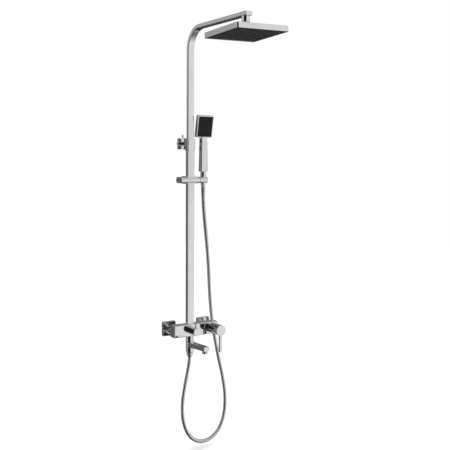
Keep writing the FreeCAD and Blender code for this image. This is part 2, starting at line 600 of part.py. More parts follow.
def build_handset():
    x, y = "handset_mid", HOLD_Y
    grip = loft("grip_bar", ("grip_wide_low", "grip_deep_low"), ("grip_wide_high", "grip_deep_high"),
                "grip_top - grip_foot", "grip_round", (x, y, "grip_foot"))
    turn = (0, 0, 90 + number("spray_tilt"))
    half = number("spray_thick") / 2
    lean = math.radians(number("spray_tilt"))
    mid_y = number(f"{y} - 6") + half * math.cos(lean)
    mid_z = number("spray_level") + half * math.sin(lean)
    head = slab("spray_bar", "spray_wide", "spray_tall", "spray_round", "spray_thick",
                (x, mid_y, mid_z), turn, edge_round=1.2)
    solid = join("handset_solid", [grip, head])
    window = "spray_wide - 2 * spray_rim", "spray_tall - 2 * spray_rim"
    face_y = mid_y - 2 * half * math.cos(lean)
    face_z = mid_z - 2 * half * math.sin(lean)
    back = (0, 0, turn[2] - 180)
    room = slab("spray_room", *window, 2, "spray_thick - 2.5", (x, face_y, face_z), back)
    way = rod("grip_way", 5.5, 140, (x, y, "grip_foot - 5"))
    keep("handset_shell", cut("handset_shell", solid, room, way))

    face_thick, face_sunk, mat_thick = 3, 0.6, 1.4
    face = slab("spray_face_bar", f"{window[0]} - 0.4", f"{window[1]} - 0.4", 1.8, face_thick,
                (0, 0, 0))
    grid, pitch = (6, 7), 9
    holes = studs("spray_hole", 1.4, 1.4, 30, *grid, pitch, top=15)
    plate = cut("spray_plate", face, gather("spray_holes", holes))

    def behind(rise):
        """A point on the head's axis, so far behind its front."""
        return x, face_y + rise * math.cos(lean), face_z + rise * math.sin(lean)
    keep("handset_face", place(plate, behind(face_sunk), back))
    mat = block("spray_mat", (f"{window[0]} - 4", f"{window[1]} - 4", mat_thick),
                (0, 0, mat_thick / 2))
    tips = studs("spray_stud", 1.2, 0.8, 4.2, *grid, pitch)
    keep("handset_jets", place(join("spray_mat_studs", [mat] + tips),
                               behind(face_sunk + face_thick + GAP), back))

    foot = "slider_level - 6"
    neck = rod("neck_bar", "neck_radius - 0.05", f"grip_foot - {GAP} - ({foot})", (x, y, foot))
    neck_way = rod("neck_way", 5.5, 90, (x, y, f"{foot} - 10"))
    keep("handset_neck", cut("handset_neck", neck, neck_way))
    nut_foot = "hose_start + 26"
    nut = taper("top_nut_cone", 8, 9, f"{foot} - {GAP} - ({nut_foot})", (x, y, nut_foot))
    nut_way = rod("top_nut_way", 5, 90, (x, y, f"{nut_foot} - 10"))
    keep("hose_top_nut", cut("hose_top_nut", nut, nut_way))
    sleeve = taper("sleeve_cone", 7.3, 7.8, f"{nut_foot} - {GAP} - hose_start", (x, y, "hose_start"))
    sleeve_way = rod("sleeve_way", 5, 90, (x, y, "hose_start - 10"))
    keep("hose_sleeve", cut("hose_sleeve", sleeve, sleeve_way))


# The hose's line as points, a hand's breadth apart: it leaves the handset, passes behind the
# mixer's right end, makes its loop and comes up under the mixer. X, Y and Z.
HOSE_ROUTE = [
    (38, -66, 506), (40, -66, 462), (50, -62, 392), (64, -54, 308), (77, -45, 220),
    (87, -36, 130), (100, -28, 40), (116, -26, -48), (132, -31, -134), (148, -39, -212),
    (156, -46, -288), (151, -50, -350), (132, -53, -404), (95, -56, -441), (45, -58, -452),
    (-2, -59, -432), (-34, -60, -385), (-47, -60, -326), (-45, -60, -266), (-33, -60, -204),
    (-21, -60, -150), (-15, -60, -118), (-15, -60, -104.3),
]


def build_hose():
    points = [Vector(*p) for p in HOSE_ROUTE]
    points[0].z = number("hose_start - hose_top_gap")
    points[-1].z = number("hose_end") - GAP
    edges = []
    radii = []
    start = points[0]
    for before, corner, after in zip(points, points[1:], points[2:]):
        into = (corner - before).normalize()
        out = (after - corner).normalize()
        half_turn = into.getAngle(out) / 2
        reach = 0.45 * min((corner - before).Length, (after - corner).Length)
        radii.append(reach / math.tan(half_turn))
        inward = (out - into).normalize()
        on_arc = corner + inward * (radii[-1] / math.cos(half_turn) - radii[-1])
        arc_start, arc_end = corner - into * reach, corner + out * reach
        edges.append(Part.LineSegment(start, arc_start).toShape())
        edges.append(Part.Arc(arc_start, on_arc, arc_end).toShape())
        start = arc_end
    edges.append(Part.LineSegment(start, points[-1]).toShape())
    wire = Part.Wire(edges)
    way = (points[1] - points[0]).normalize()
    section = Part.Wire([Part.Circle(points[0], way, number("hose_radius")).toShape()])
    tube = wire.makePipeShell([section], True, False)
    hose = doc.addObject("Part::Feature", "hose_tube")
    hose.Shape = tube
    keep("shower_hose", hose)
    area = math.pi * number("hose_radius") ** 2
    print("hose length", round(wire.Length, 1), "smallest radius", round(min(radii), 1))
    print("hose radii", [round(r) for r in radii])
    print("hose volume over section times length", round(tube.Volume / (area * wire.Length), 4))


def build_spout():
    low = "-mixer_tall / 2"
    boss = rod("boss_bar", "hub_radius", f"{low} - {GAP} - spout_top - {GAP}",
               (RX, RY, f"spout_top + {GAP}"))
    boss_way = rod("boss_way", 8.6, 60, (RX, RY, "spout_top - 10"))
    keep("outlet_boss", cut("outlet_boss", boss, boss_way))
    foot = "spout_top - spout_tall"
    stem = rod("stem_bar", 8.5, f"{low} + 11 - ({foot}) + 12", (RX, RY, f"{foot} - 12"))
    stem_way = rod("stem_way", 5.5, 200, (RX, RY, -150))
    port = rod("stem_port", 3.5, 20, (RX, RY, "spout_top - spout_tall / 2"), "-y")
    grooves = [ring("stem_groove", 8, 1.1, (RX, RY, f"spout_top - {d}")) for d in (4, 17)]
    keep("outlet_stem", cut("outlet_stem", stem, stem_way, port, *grooves))

    hub = rod("hub_bar", "hub_radius", "spout_tall", (RX, RY, foot))
    rise, root_tall = number("spout_rise"), "spout_tall - 1.4"
    outward = (0, 0, 90 - rise)
    arm = loft("spout_arm", ("spout_wide", root_tall), ("spout_wide", "spout_tip_tall"),
               "spout_reach", 2, (RX, RY, "spout_top - spout_tall / 2"), outward)
    bore = rod("hub_bore", 8.55, 60, (RX, RY, f"{foot} - 20"))
    way = rod("spout_way", 5, "aerator_reach", (RX, RY, "spout_top - spout_tall / 2"), outward)
    taper_slope = number(f"(({root_tall}) - spout_tip_tall) / 2 / spout_reach")
    slope = math.radians(rise) + math.atan(taper_slope)
    under_tip = number(f"spout_top - spout_tall / 2 - ({root_tall}) / 2") \
        + number("aerator_reach") * math.tan(slope)
    tip = (RX, f"{RY} - aerator_reach", under_tip)
    square_on = (0, 0, -math.degrees(slope))
    recess = rod("mouth_recess", 9.5, 19, (0, 0, -12))
    mouth = place(gather("spout_mouth", [recess]), tip, square_on)
    solid = join("spout_solid", [hub, arm])
    keep("spout_body", cut("spout_body", solid, bore, way, mouth))

    skirt = rod("aerator_skirt", "aerator_radius", 9, (0, 0, -10))
    thread = rod("aerator_thread", 9.4, 6, (0, 0, -2))
    aerator_way = rod("aerator_way", 8.2, 40, (0, 0, -30))
    housing = cut("aerator_housing", join("aerator_solid", [skirt, thread]), aerator_way)
    keep("aerator_housing", place(housing, tip, square_on))
    insert = rod("insert_bar", 8.1, 8, (0, 0, -8.5))
    slots = [block("insert_slot", (10, 0.8, 4), (0, 3 * k, -8.5)) for k in (-1, 0, 1)]
    keep("aerator_insert", place(cut("aerator_insert", insert, *slots), tip, square_on))

    under = f"{foot} - {GAP}"
    outlet = rod("outlet_bar", "hub_radius", 18, (RX, RY, f"{under} - 18"))
    rim = taper("outlet_rim", 12.8, "hub_radius", 3, (RX, RY, f"{under} - 21"))
    outlet_stem_way = rod("outlet_stem_way", 8.6, 12.2, (RX, RY, f"{under} - 12"))
    outlet_way = rod("outlet_way", 5.5, 60, (RX, RY, f"{under} - 40"))
    keep("hose_outlet", cut("hose_outlet", join("outlet_solid", [outlet, rim]), outlet_stem_way,
                            outlet_way))
    nut_top = f"{under} - 21 - {GAP}"
    cone = 5.4
    nut = join("bottom_nut_solid", [
        rod("bottom_nut_bar", 12, f"{nut_top} - hose_end - {cone}", (RX, RY, f"hose_end + {cone}")),
        taper("bottom_nut_cone", 8.7, 12, cone, (RX, RY, "hose_end")),
    ])
    nut_way = rod("bottom_nut_way", 5, 60, (RX, RY, "hose_end - 20"))
    keep("hose_bottom_nut", cut("hose_bottom_nut", nut, nut_way))
    seals = [ring("spout_seal", 8, 0.5, (RX, RY, f"spout_top - {d}")) for d in (4, 17)]
    keep("o_rings", gather("o_rings", seals))


def build_diverter():
    inner = f"{FRONT} + diverter_depth - 0.4"
    valve = rod("diverter_barrel", "diverter_bore - 0.2", "diverter_depth - 0.4", (RX, inner, 0),
                "-y")
    spindle_way = rod("diverter_way", 4.05, 20, (RX, f"{FRONT} + 18", 0), "-y")
    keep("diverter_cartridge", cut("diverter_cartridge", valve, spindle_way))
    keep("diverter_spindle", rod("diverter_spindle", 4, 38, (RX, f"{FRONT} + 17.6", 0), "-y"))
    knob = rod("knob_bar", "knob_radius", f"knob_long - {GAP}", (RX, f"{FRONT} - {GAP}", 0), "-y")
    knob = soften("knob_soft", knob, 1, lambda edge: edge.BoundBox.YMax < number(FRONT) - 20)
    knob_way = rod("knob_way", 4, 21, (RX, FRONT, 0), "-y")
    pin_way = rod("knob_pin_way", 2, 6, (RX, f"{FRONT} - pin_reach", "knob_radius - 5"))
    keep("diverter_knob", cut("diverter_knob", knob, knob_way, pin_way))
    peg = rod("pin_peg", "pin_radius", "pin_tall", (RX, f"{FRONT} - pin_reach",
              "knob_radius + 0.2"))
    root = rod("pin_root", 1.95, 5, (RX, f"{FRONT} - pin_reach", "knob_radius - 4.5"))
    keep("diverter_pin", join("diverter_pin", [peg, root]))


def build_handle():
    x = "handle_mid"
    pivot = f"{FRONT} - pivot_reach"
    shell = rod("bonnet_bar", "grasp_radius", f"bonnet_long - {GAP}", (x, f"{FRONT} - {GAP}", 0),
                "-y")
    room = rod("bonnet_room", "valve_bore", 60, (x, FRONT, 0), "-y")
    dome_room = rod("bonnet_dome_room", "dome_radius + 0.4", 20, (x, f"{pivot} + 3.5", 0), "-y")
    keep("handle_bonnet", cut("handle_bonnet", shell, room, dome_room))

    inner = f"{FRONT} + valve_depth - 0.4"
    valve = rod("valve_barrel", "valve_bore - 0.2", f"{inner} - ({pivot}) - 4.5", (x, inner, 0),
                "-y")
    carrier_way = rod("valve_way", 10.05, 40, (x, f"{FRONT} - 4", 0), "-y")
    keep("mixing_cartridge", cut("mixing_cartridge", valve, carrier_way))
    keep("cartridge_carrier", rod("cartridge_carrier", 10, "pivot_reach - 4.2 - 3.2",
                                  (x, f"{FRONT} - 4.2", 0), "-y"))

    sphere = ball("dome_ball", "dome_radius", (x, pivot, 0))
    cavity = ball("dome_cavity", "dome_radius - 3", (x, pivot, 0))
    behind = block("dome_behind", (60, 40, 60), (x, f"{pivot} + 21", 0))
    slit = block("dome_slit", (8.4, 30, 13.5), (x, f"{pivot} - 15", 2))
    cup = cut("dome_cup", sphere, cavity, behind, slit)
    base = rod("dome_base", "dome_radius - 1", 2.6, (x, f"{pivot} + 1.8", 0), "-y")
    pivot_way = rod("dome_pivot_way", 2.8, 13, (f"{x} - 6.5", pivot, 0), "x")
    keep("handle_dome", cut("handle_dome", join("dome_solid", [cup, base]), pivot_way))

    start, end = f"{FRONT} - grasp_start", f"{FRONT} - grasp_end"
    body = rod("grasp_bar", "grasp_radius", "grasp_end - grasp_start", (x, start, 0), "-y")
    body = soften("grasp_soft", body, 1, lambda edge: edge.BoundBox.YMax < number(FRONT) - 50)
    hollow = ball("grasp_hollow", "dome_radius + 0.5", (x, pivot, 0))
    stem_way = rod("grasp_stem_way", 3.5, "grasp_end - 12 - pivot_reach", (x, pivot, 0), "-y")
    lever_way = block("grasp_lever_way", ("lever_wide + 0.2", "lever_thick + 0.2", 12),
                      (x, f"{FRONT} - lever_reach", "-grasp_radius - 2"))
    keep("handle_body", cut("handle_body", body, hollow, stem_way, lever_way))
    stem = rod("stem_rod", 3.5, "grasp_end - 12.2 - pivot_reach - 2", (x, f"{pivot} - 2", 0), "-y")
    barrel = rod("stem_barrel", 2.5, 12, (f"{x} - 6", pivot, 0), "x")
    keep("handle_stem", join("handle_stem", [stem, barrel]))
    lever = slab("lever_bar", "lever_wide", "lever_thick", 1.5,
                 "lever_foot - grasp_radius + 4 - 0.2",
                 (x, f"{FRONT} - lever_reach", "-lever_foot"), edge_round=0.8)
    keep("handle_lever", lever)


build_mixer_body()
build_wall_unions()
build_riser()
build_upper_tube()
build_wall_bracket()
build_swivel()
build_rain_head()
build_slider()
build_holder()
build_handset()
build_hose()
build_spout()
build_diverter()
build_handle()
doc.recompute()

os.makedirs("parts", exist_ok=True)
for item in doc.Objects:
    if "Invalid" in item.State or "Error" in item.State:
        raise RuntimeError(f"{item.Label} doesn't compute: {item.State}")
for label, item in nodes.items():
    shape = item.Shape
    if shape.isNull() or not shape.isValid() or not shape.Solids:
        raise RuntimeError(f"{label} has no valid shape")
    shape.exportStep(f"parts/{label}.step")
print(len(nodes), "sub-parts")
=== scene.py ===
import json
import math

import bpy
import numpy as np
from mathutils import Matrix, Vector


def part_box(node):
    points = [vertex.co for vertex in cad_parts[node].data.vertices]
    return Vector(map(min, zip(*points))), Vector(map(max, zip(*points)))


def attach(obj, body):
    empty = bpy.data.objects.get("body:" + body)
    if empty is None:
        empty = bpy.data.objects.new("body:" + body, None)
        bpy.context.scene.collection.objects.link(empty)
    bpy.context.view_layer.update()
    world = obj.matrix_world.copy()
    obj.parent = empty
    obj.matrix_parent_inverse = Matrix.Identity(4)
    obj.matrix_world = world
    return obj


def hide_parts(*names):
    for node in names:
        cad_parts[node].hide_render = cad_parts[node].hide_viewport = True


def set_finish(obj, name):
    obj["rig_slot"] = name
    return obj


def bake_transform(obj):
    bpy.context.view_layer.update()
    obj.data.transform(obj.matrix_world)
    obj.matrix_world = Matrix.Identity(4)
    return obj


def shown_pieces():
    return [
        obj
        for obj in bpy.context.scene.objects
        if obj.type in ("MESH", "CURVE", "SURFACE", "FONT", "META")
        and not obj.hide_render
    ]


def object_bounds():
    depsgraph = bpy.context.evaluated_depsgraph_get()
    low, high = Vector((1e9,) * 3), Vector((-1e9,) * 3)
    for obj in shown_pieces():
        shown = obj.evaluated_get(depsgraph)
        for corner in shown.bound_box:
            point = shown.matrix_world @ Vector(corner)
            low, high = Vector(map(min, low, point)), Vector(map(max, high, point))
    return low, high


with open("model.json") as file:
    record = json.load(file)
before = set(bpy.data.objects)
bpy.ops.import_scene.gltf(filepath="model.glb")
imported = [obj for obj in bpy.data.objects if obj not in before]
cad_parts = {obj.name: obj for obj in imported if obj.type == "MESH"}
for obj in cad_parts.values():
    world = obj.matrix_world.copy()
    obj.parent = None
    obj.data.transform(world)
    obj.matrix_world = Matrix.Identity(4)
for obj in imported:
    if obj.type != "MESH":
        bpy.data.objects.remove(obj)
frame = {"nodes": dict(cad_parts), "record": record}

# Looks of the rainfall shower column. Metres, +Z up, wall at Y = 0, the room on the -Y side.
# The chrome castings and tubes are the frame's own; the hose, its strain relief, the nuts, the
# thumb screw and the spray nozzles are made here in more detail, where the frame holds them.

MM = 0.001
CAD_BOX = [list(corner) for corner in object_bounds()]
NODES = frame["nodes"]


# ---------------------------------------------------------------- camera

CAMERA_AT = (-1.4111, -2.4706, 0.6490)
CAMERA_AZIMUTH = math.radians(32.18)   # from +Y towards +X
CAMERA_DIP = math.radians(5.19)
CAMERA_ROLL = math.radians(0.34)
LENS = 59.98                           # mm
SENSOR_WIDTH = 36                      # mm
SHIFT_X = 0.0169                       # share of the picture's width
NEAR_CLIP = 0.05


def make_camera():
    """The camera: a long lens, out in the room and to the left."""
    data = bpy.data.cameras.new("camera")
    data.sensor_width = SENSOR_WIDTH
    data.lens = LENS
    data.shift_x = SHIFT_X
    data.clip_start = NEAR_CLIP
    camera = bpy.data.objects.new("camera", data)
    bpy.context.scene.collection.objects.link(camera)
    level = math.cos(CAMERA_DIP)
    forward = Vector((math.sin(CAMERA_AZIMUTH) * level, math.cos(CAMERA_AZIMUTH) * level,
                      -math.sin(CAMERA_DIP)))
    right = forward.cross(Vector((0, 0, 1))).normalized()
    up = right.cross(forward)
    tilted_right = right * math.cos(CAMERA_ROLL) + up * math.sin(CAMERA_ROLL)
    tilted_up = up * math.cos(CAMERA_ROLL) - right * math.sin(CAMERA_ROLL)
    turn = Matrix((tilted_right, tilted_up, -forward)).transposed()
    camera.matrix_world = Matrix.Translation(CAMERA_AT) @ turn.to_4x4()
    bpy.context.scene.camera = camera


make_camera()


# ---------------------------------------------------------------- mesh making

def mesh_object(name, vertices, faces, sharp=35, groove=None):
    """A mesh piece with smooth shading, sharp where faces meet at more than that many degrees."""
    mesh = bpy.data.meshes.new(name)
    mesh.from_pydata([tuple(v) for v in vertices], [], faces)
    mesh.validate()
    mesh.update()
    mesh.shade_smooth()
    mesh.set_sharp_from_angle(angle=math.radians(sharp))
    # groove: how deep each vertex lies in a groove, where the hose_steel material paints shade.
    if groove is not None:
        layer = mesh.attributes.new("groove", "FLOAT", "POINT")
        layer.data.foreach_set("value", np.asarray(groove, np.float32))
    piece = bpy.data.objects.new(name, mesh)
    bpy.context.scene.collection.objects.link(piece)
    return piece


def grid_faces(rings, sides, first=0, loop=True):
    """Quads between successive rings of vertices; loop closes the last ring on the first."""
    faces = []
    for i in range(rings if loop else rings - 1):
        a, b = first + i * sides, first + ((i + 1) % rings) * sides
        for j in range(sides):
            k = (j + 1) % sides
            faces.append((a + j, a + k, b + k, b + j))
    return faces


def revolved(rings, sides, place=Matrix.Identity(4), first=0):
    """Vertices and faces of a closed ring-shaped solid. Its rings are listed round the section,
    each as (height, radius), where radius is a number or a function of the angle."""
    vertices = []
    for height, radius in rings:
        for j in range(sides):
            angle = 2 * math.pi * j / sides
            r = radius(angle) if callable(radius) else radius
            vertices.append(place @ Vector((r * math.cos(angle), r * math.sin(angle), height)))
    return vertices, grid_faces(len(rings), sides, first)


# ---------------------------------------------------------------- hose

HOSE_DIAMETER = 0.014
HOSE_SIDES = 20
HOSE_PITCH = 0.0050          # along the hose, from one turn of the strip to the next
RINGS_PER_TURN = 8
LOCK_DEPTH = 0.0009          # of the groove where two turns hook together
LOCK_FLANK = 0.15            # share of a turn over which each side of the groove falls
STRIP_CROWN = 0.00012        # the strip bulges a little in its middle
HOSE_ROUTE = [
    (0.038, -0.066, 0.5055), (0.040, -0.066, 0.462), (0.050, -0.062, 0.392),
    (0.064, -0.054, 0.308), (0.077, -0.045, 0.220), (0.087, -0.036, 0.130),
    (0.100, -0.028, 0.040), (0.116, -0.026, -0.048), (0.132, -0.031, -0.134),
    (0.148, -0.039, -0.212), (0.156, -0.046, -0.288), (0.151, -0.050, -0.350),
    (0.132, -0.053, -0.404), (0.095, -0.056, -0.441), (0.045, -0.058, -0.452),
    (-0.002, -0.059, -0.432), (-0.034, -0.060, -0.385), (-0.047, -0.060, -0.326),
    (-0.045, -0.060, -0.266), (-0.033, -0.060, -0.204), (-0.021, -0.060, -0.150),
    (-0.015, -0.060, -0.118), (-0.015, -0.060, -0.1043),
]
ROUTE_STEPS = 24             # points of the line from one route point to the next


def route_points(route):
    """Points, close together, of a smooth line that the route guides."""
    curve = bpy.data.curves.new("route", "CURVE")
    curve.dimensions = "3D"
    curve.resolution_u = ROUTE_STEPS
    spline = curve.splines.new("NURBS")
    spline.points.add(len(route) - 1)
    for point, place in zip(spline.points, route):
        point.co = (*place, 1)
    spline.order_u = 3
    spline.use_endpoint_u = True
    line = bpy.data.objects.new("route", curve)
    bpy.context.scene.collection.objects.link(line)
    bpy.context.view_layer.update()
    mesh = bpy.data.meshes.new_from_object(line)
    points = np.array([v.co for v in mesh.vertices])
    bpy.data.objects.remove(line)
    bpy.data.meshes.remove(mesh)
    return points


def spaced(points, step):
    """Even distances along a line, about a step apart, and the points there."""
    along = np.concatenate([[0], np.cumsum(np.linalg.norm(np.diff(points, axis=0), axis=1))])
    count = int(round(along[-1] / step)) + 1
    places = np.linspace(0, along[-1], count)
    return places, np.column_stack([np.interp(places, along, points[:, k]) for k in range(3)])


def across(points):
    """Two unit vectors across a line at each point, which turn as little as they can."""
    ways = np.gradient(points, axis=0)
    ways /= np.linalg.norm(ways, axis=1)[:, None]
    side = np.cross(ways[0], (0.0, 1.0, 0.0))
    sides = []
    for way in ways:
        side = side - way * side.dot(way)
        side /= np.linalg.norm(side)
        sides.append(side)
    sides = np.array(sides)
    return sides, np.cross(ways, sides)


def make_hose():
    """A double-lock metal hose: a flat strip wound into a helix, each turn hooked in the next."""
    line = route_points(HOSE_ROUTE)
    places, middle = spaced(line, HOSE_PITCH / RINGS_PER_TURN)
    one, two = across(middle)
    angles = np.linspace(0, 2 * np.pi, HOSE_SIDES, endpoint=False)
    turn = places[:, None] / HOSE_PITCH - angles[None, :] / (2 * np.pi)
    phase = turn - np.floor(turn)
    from_middle = np.abs(phase - 0.5)
    hollow = np.clip((0.5 - from_middle) / LOCK_FLANK, 0, 1)
    hollow = 1 - hollow * hollow * (3 - 2 * hollow)
    radius = HOSE_DIAMETER / 2 - LOCK_DEPTH * hollow - STRIP_CROWN * from_middle
    ring = (one[:, None, :] * np.cos(angles)[None, :, None]
            + two[:, None, :] * np.sin(angles)[None, :, None])
    vertices = (middle[:, None, :] + ring * radius[:, :, None]).reshape(-1, 3)
    faces = grid_faces(len(middle), HOSE_SIDES, loop=False)
    last = (len(middle) - 1) * HOSE_SIDES
    faces.append(tuple(range(HOSE_SIDES))[::-1])
    faces.append(tuple(last + j for j in range(HOSE_SIDES)))
    return mesh_object("shower_hose_wound", vertices, faces, sharp=80,
                       groove=hollow.ravel()), line


hose, hose_line = make_hose()


# ---------------------------------------------------------------- nuts and screws

HOSE_BORE = 5 * MM           # inside the hose's nuts and its sleeve
EASE = 0.5 * MM              # a broken edge
NUT_SIDES = 160
NUT_FLUTES, NUT_FLUTE_DEPTH = 20, 0.35 * MM

SLEEVE_SIDES, SLEEVE_RIBS = 48, 7
SLEEVE_FOOT, SLEEVE_FLARE, SLEEVE_GROOVE = 7.3, 0.5, 0.6    # mm
# One rib of the sleeve: places along it as shares, and how deep each is in its groove.
SLEEVE_RIB = ((0.04, 0.0), (0.42, 0.0), (0.48, 0.2), (0.56, 1.0), (0.72, 1.0), (0.80, 0.2),
              (0.86, 0.0))

UNION_BORE = 13.2 * MM
UNION_SIDES = 144

SCREW_GRIP, SCREW_SHANK, SCREW_HEAD_TALL = 2.6 * MM, 1.8 * MM, 13 * MM
SCREW_CENTRE = 0.05 * MM     # its end faces close on a ring this small
SCREW_SIDES = 132


def fluted(radius, depth, count, roundness=0.55):
    """A radius with round flutes cut in it, as a function of the angle."""
    def at(angle):
        wave = max(0.0, math.cos(angle * count))
        return radius - depth * wave ** roundness
    return at


def fitting(name, body, slot, rings, sides, place=Matrix.Identity(4), sharp=35):
    """A turned piece that rides on a body, from the rings of its section."""
    piece = mesh_object(name, *revolved(rings, sides, place), sharp=sharp)
    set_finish(piece, slot)
    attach(piece, body)
    return piece


def upright(node):
    """The foot's centre and the height of a node that stands upright."""
    low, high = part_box(node)
    return Vector(((low.x + high.x) / 2, (low.y + high.y) / 2, low.z)), high.z - low.z


def make_hose_nut(name, node, body, foot_radius, top_radius, cone=None):
    """A hose nut: a cone at its foot, fine flutes round its grip and a plain collar on top."""
    foot, tall = upright(node)

    def outer(height):
        return foot_radius + (top_radius - foot_radius) * min(1.0, height / (cone or tall))
    low, high = (cone + 1 * MM if cone else 0.08 * tall), 0.70 * tall    # the fluted grip
    rings = [(0, HOSE_BORE), (0, outer(0) - EASE), (EASE, outer(EASE))]
    if cone:
        rings.append((cone, outer(cone)))
    rings.append((low, outer(low)))
    for height in (low + EASE, (low + high) / 2, high - EASE):
        rings.append((height, fluted(outer(height), NUT_FLUTE_DEPTH, NUT_FLUTES)))
    rings.append((high, outer(high)))
    for share, drop in ((0.73, EASE), (0.79, EASE), (0.82, 0)):          # the collar's groove
        rings.append((share * tall, outer(share * tall) - drop))
    rings += [(tall - EASE, outer(tall)), (tall, outer(tall) - EASE), (tall, HOSE_BORE)]
    nut = fitting(name, body, "chrome", rings, NUT_SIDES, Matrix.Translation(foot))
    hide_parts(node)
    return nut


def make_sleeve():
    """The hose's strain relief: a tapered metal sleeve with grooves turned round it."""
    foot, tall = upright("hose_sleeve")
    rings, grooves = [(0, HOSE_BORE), (0, (SLEEVE_FOOT - 0.2) * MM)], [0, 0]
    for k in range(SLEEVE_RIBS):
        for share, drop in SLEEVE_RIB:
            along = (k + share) / SLEEVE_RIBS
            radius = SLEEVE_FOOT + SLEEVE_FLARE * along - SLEEVE_GROOVE * drop
            rings.append((along * tall, radius * MM))
            grooves.append(drop)
    top_radius = SLEEVE_FOOT + SLEEVE_FLARE
    rings += [(tall - 0.2 * MM, (top_radius - 0.05) * MM), (tall, (top_radius - 0.2) * MM),
              (tall, HOSE_BORE)]
    grooves += [0, 0, 0]
    sleeve = mesh_object("hose_strain_relief",
                         *revolved(rings, SLEEVE_SIDES, Matrix.Translation(foot)), sharp=50,
                         groove=np.repeat(grooves, SLEEVE_SIDES))
    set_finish(sleeve, "hose_steel")
    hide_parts("hose_sleeve")
    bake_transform(sleeve)
    return sleeve


def make_union_nut(side):
    """A hexagon nut on the bar's inlet, with its corners turned down at both ends."""
    node = f"union_nut_{side}"
    low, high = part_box(node)
    long = high.y - low.y
    flats = min(high.z - low.z, high.x - low.x) / 2
    corner = flats / math.cos(math.pi / 6)

    def hexagon(chamfer):
        def at(angle):
            sector = (angle % (math.pi / 3)) - math.pi / 6
            return min(flats / math.cos(sector), chamfer)
        return at
    levels = [(0, flats - 0.4 * MM), (1.1 * MM, flats + 1.0 * MM), (2.2 * MM, corner)]
    rings = [(0, UNION_BORE)] + [(z, hexagon(r)) for z, r in levels]
    rings += [(long - z, hexagon(r)) for z, r in levels[::-1]] + [(long, UNION_BORE)]
    turn = Matrix.Rotation(math.radians(-90), 4, "X")
    middle = Vector(((low.x + high.x) / 2, low.y, (low.z + high.z) / 2))
    nut = fitting(f"wall_union_nut_{side}", "mixer_and_riser", "chrome", rings, UNION_SIDES,
                  Matrix.Translation(middle) @ turn, sharp=20)
    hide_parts(node)


def make_thumb_screw():
    """The lock screw on the bracket's cover: a knurled head on its shank."""
    foot, tall = upright("cover_lock_screw")
    head = tall - SCREW_HEAD_TALL
    knurl = fluted(SCREW_GRIP, 0.2 * MM, 18, 0.8)
    rings = [(0, SCREW_CENTRE), (0, SCREW_SHANK - 0.3 * MM), (0.4 * MM, SCREW_SHANK),
             (head, SCREW_SHANK), (head, SCREW_GRIP - EASE), (head + EASE, SCREW_GRIP),
             (head + 1.4 * MM, SCREW_GRIP), (head + 1.6 * MM, knurl), (tall - 1.6 * MM, knurl),
             (tall - 1.4 * MM, SCREW_GRIP), (tall - EASE, SCREW_GRIP),
             (tall, SCREW_GRIP - EASE), (tall, SCREW_CENTRE)]
    screw = fitting("bracket_thumb_screw", "mixer_and_riser", "chrome", rings, SCREW_SIDES,
                    Matrix.Translation(foot))
    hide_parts("cover_lock_screw")


# ---------------------------------------------------------------- spray nozzles

NOZZLE_SIDES = 12
NOZZLE_BURY = 1.2 * MM       # how far a nozzle starts behind the face


def make_nozzles(name, node, body, columns, rows, pitch, tip, root, stand, plane):
    """A silicone mat's nozzles: each a collar, a tapered tip and the hole down its middle.
    tip and root are radii, stand is how far a nozzle stands out, and plane is the mat's."""
    vertices, faces = [], []
    hole = tip * 0.42
    rings = [(-NOZZLE_BURY, root * 0.9), (0.05 * MM, root), (0.25 * MM, root * 0.95),
             (stand * 0.35, root * 0.82), (stand * 0.85, tip), (stand, tip * 0.85),
             (stand, hole), (-NOZZLE_BURY, hole)]
    for i in range(columns):
        for j in range(rows):
            x = (i - (columns - 1) / 2) * pitch
            y = (j - (rows - 1) / 2) * pitch
            spot = plane @ Matrix.Translation((x, y, 0))
            more_vertices, more_faces = revolved(rings, NOZZLE_SIDES, spot, len(vertices))
            vertices += more_vertices
            faces += more_faces
    piece = mesh_object(name, vertices, faces, sharp=40)
    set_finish(piece, "silicone")
    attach(piece, body)
    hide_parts(node)


HEAD_TILT = (Matrix.Rotation(math.radians(-1.4), 4, "Y")
             @ Matrix.Rotation(math.radians(-2.6), 4, "X"))    # as the head hangs on its ball
HEAD_FACE_THICK = 4 * MM
SPRAY_TILT = math.radians(10.5)                                # as the handset leans back
SPRAY_FACE_THICK = 3 * MM


def make_rain_nozzles():
    """The rain head's nozzles, pointing down from its face."""
    low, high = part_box("rain_head_face")
    down = (Matrix.Translation((low + high) / 2) @ HEAD_TILT
            @ Matrix.Translation((0, 0, -HEAD_FACE_THICK / 2)) @ Matrix.Rotation(math.pi, 4, "X"))
    make_nozzles("rain_nozzles", "rain_head_jets", "rain_head", columns=10, rows=10,
                 pitch=17 * MM, tip=1.15 * MM, root=1.75 * MM, stand=1.6 * MM, plane=down)


def make_spray_nozzles():
    """The handset's nozzles, pointing out of its face."""
    low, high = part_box("handset_face")
    out = Vector((0, -math.cos(SPRAY_TILT), -math.sin(SPRAY_TILT)))
    right = Vector((1, 0, 0))
    turn = Matrix((right, out.cross(right), out)).transposed()
    middle = (low + high) / 2 + out * SPRAY_FACE_THICK / 2
    make_nozzles("handset_nozzles", "handset_jets", "handset_holder", columns=6, rows=7,
                 pitch=9 * MM, tip=0.75 * MM, root=1.2 * MM, stand=1.3 * MM,
                 plane=Matrix.Translation(middle) @ turn.to_4x4())


bottom_nut = make_hose_nut("hose_nut_lower", "hose_bottom_nut", "mixer_and_riser",
                           foot_radius=8.7 * MM, top_radius=12 * MM, cone=5.4 * MM)
top_nut = make_hose_nut("hose_nut_upper", "hose_top_nut", "handset_holder",
                        foot_radius=8 * MM, top_radius=9 * MM)
sleeve = make_sleeve()
for side in ("left", "right"):
    make_union_nut(side)
make_thumb_screw()
make_rain_nozzles()
make_spray_nozzles()

